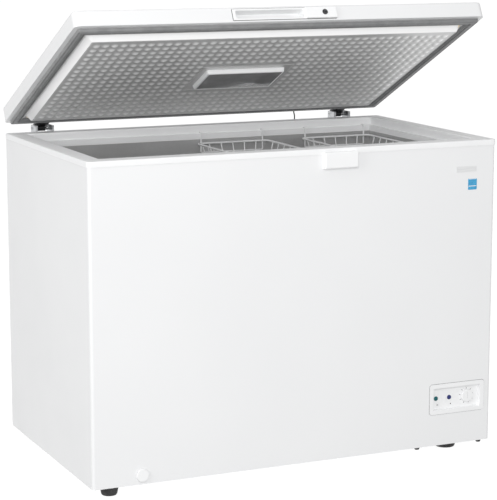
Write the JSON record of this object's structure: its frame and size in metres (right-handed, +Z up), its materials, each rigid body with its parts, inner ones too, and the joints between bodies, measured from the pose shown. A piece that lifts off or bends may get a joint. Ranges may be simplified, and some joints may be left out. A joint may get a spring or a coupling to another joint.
{
  "type": "chest freezer",
  "caption": "White chest freezer with a hinged insulated lid held half open, lockable recessed handle, lamp, hanging wire baskets, thermostat panel and drain.",
  "frame": {"origin": "on the floor under the middle of the whole object, with the lid as it stands half open", "axes": "+Z up, +Y towards the wall behind, +X to the right of a person in front"},
  "size_m": [1.12, 0.7118, 1.1777],
  "materials": {
    "white_steel": "gloss",
    "back_steel": "satin",
    "zinc_steel": "satin",
    "foam": "matte",
    "liner_metal": "satin",
    "white_plastic": "satin",
    "grille_plastic": "satin",
    "gasket_vinyl": "satin",
    "black_rubber": "matte",
    "black_plastic": "satin",
    "black_steel": "satin",
    "screw_steel": "polished",
    "copper_tube": "satin",
    "basket_wire": "gloss",
    "green_lens": "gloss",
    "blue_lens": "gloss",
    "lamp_cover": "satin",
    "circuit_board": "satin",
    "plate_silver": "satin",
    "blue_foil": "gloss"
  },
  "bodies": {
    "cabinet": {"back_panel": "back_steel", "base_pan": "zinc_steel", "blue_indicator": "blue_lens", "breaker_strip": "white_plastic", "cable_inlet": "black_rubber", "compressor_bracket": "zinc_steel", "compressor_grommets": "black_rubber", "compressor_shell": "black_steel", "compressor_tray": "zinc_steel", "condenser_coil": "copper_tube", "control_bezel": "white_plastic", "drain_tube": "white_plastic", "evaporator_coil": "copper_tube", "filter_drier": "copper_tube", "foam_insulation": "foam", "foot_front_left": "black_rubber", "foot_front_right": "black_rubber", "foot_rear_left": "black_rubber", "foot_rear_right": "black_rubber", "green_indicator": "green_lens", "hinge_bracket_left": "zinc_steel", "hinge_bracket_right": "zinc_steel", "hinge_pin_left": "screw_steel", "hinge_pin_right": "screw_steel", "hinge_screws": "screw_steel", "hinge_springs": "screw_steel", "info_label": "blue_foil", "inner_liner": "liner_metal", "lamp_lead_lower": "black_rubber", "lock_catch": "white_plastic", "nameplate": "plate_silver", "outer_wrap": "white_steel", "rear_cover": "back_steel", "refrigerant_pipes": "copper_tube", "relay_box": "black_plastic", "rim_frame": "white_plastic", "side_grille": "grille_plastic", "thermostat_body": "black_plastic"},
    "lid": {"lid_shell": "white_steel", "lid_foam": "foam", "lid_liner": "liner_metal", "lid_gasket": "gasket_vinyl", "lamp_housing": "white_plastic", "lamp_lens": "lamp_cover", "lamp_board": "circuit_board", "handle_recess": "white_plastic", "lock_plate": "white_plastic", "hinge_arm_left": "black_steel", "hinge_arm_right": "black_steel", "lid_hinge_screws": "screw_steel", "lamp_lead_upper": "black_rubber"},
    "lock_cylinder": {"key_barrel": "screw_steel", "lock_hook": "screw_steel"},
    "thermostat_knob": {"thermostat_dial": "white_plastic"},
    "outlet_cap": {"drain_cap": "white_plastic"},
    "cavity_plug": {"floor_plug": "white_plastic"},
    "left_basket": {"basket_left": "basket_wire", "basket_left_hangers": "basket_wire"},
    "right_basket": {"basket_right": "basket_wire", "basket_right_hangers": "basket_wire"}
  },
  "joints": [
    {"name": "lid_hinge", "type": "hinge", "parent": "cabinet", "child": "lid", "pos_m": [0, 0.346, 0.835], "axis": [-1, 0, 0], "range_deg": [-26, 52]},
    {"name": "key_turn", "type": "hinge", "parent": "lid", "child": "lock_cylinder", "pos_m": [0.098, -0.26299, 1.1604], "axis": [0, -0.8988, 0.4384], "range_deg": [0, 90]},
    {"name": "thermostat_turn", "type": "hinge", "parent": "cabinet", "child": "thermostat_knob", "pos_m": [0.491, -0.34, 0.1525], "axis": [0, 1, 0], "range_deg": [0, 300]},
    {"name": "outlet_cap_pull", "type": "slide", "parent": "cabinet", "child": "outlet_cap", "axis": [0, -1, 0], "range_m": [0, 0.03]},
    {"name": "cavity_plug_lift", "type": "slide", "parent": "cabinet", "child": "cavity_plug", "axis": [0, 0, 1], "range_m": [0, 0.03]},
    {"name": "left_basket_slide", "type": "slide", "parent": "cabinet", "child": "left_basket", "axis": [1, 0, 0], "range_m": [-0.467, 0.098]},
    {"name": "right_basket_slide", "type": "slide", "parent": "cabinet", "child": "right_basket", "axis": [1, 0, 0], "range_m": [-0.098, 0.004]}
  ]
}
